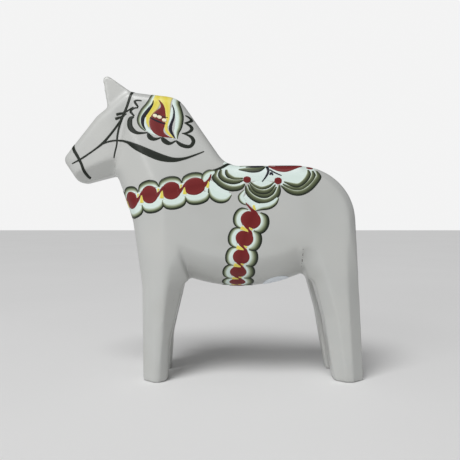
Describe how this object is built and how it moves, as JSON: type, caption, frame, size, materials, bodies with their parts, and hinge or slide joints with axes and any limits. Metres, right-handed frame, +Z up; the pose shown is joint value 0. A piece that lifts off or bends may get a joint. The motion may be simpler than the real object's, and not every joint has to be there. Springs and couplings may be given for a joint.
{
  "type": "dala horse",
  "caption": "Carved wooden toy horse, glued up from pine staves and painted light grey, with folk flower, garland and saddle ornaments; it stands on four legs.",
  "frame": {"origin": "on the ground, under the middle of the horse's outer box", "axes": "the horse looks along -X, its left side faces -Y, +Z is up"},
  "size_m": [0.2473, 0.075, 0.2502],
  "materials": {
    "painted_pine": "carved pine under a satin coat of warm light grey paint and clear lacquer",
    "label_paper": "blank round paper sticker",
    "red_paint": "hand-brushed wine red oil paint",
    "white_green_paint": "white loaded with dark green in one brush stroke",
    "green_paint": "olive loaded with black in one brush stroke",
    "yellow_paint": "yellow brushed accents",
    "navy_paint": "blue-black brushed line"
  },
  "bodies": {
    "root": {"left_head_block": "painted_pine", "left_shoulder_block": "painted_pine", "left_barrel_block": "painted_pine", "left_haunch_block": "painted_pine", "right_head_block": "painted_pine", "right_shoulder_block": "painted_pine", "right_barrel_block": "painted_pine", "right_haunch_block": "painted_pine", "centre_head_block": "painted_pine", "centre_barrel_block": "painted_pine", "centre_rump_block": "painted_pine", "belly_label": "label_paper"}
  },
  "joints": []
}
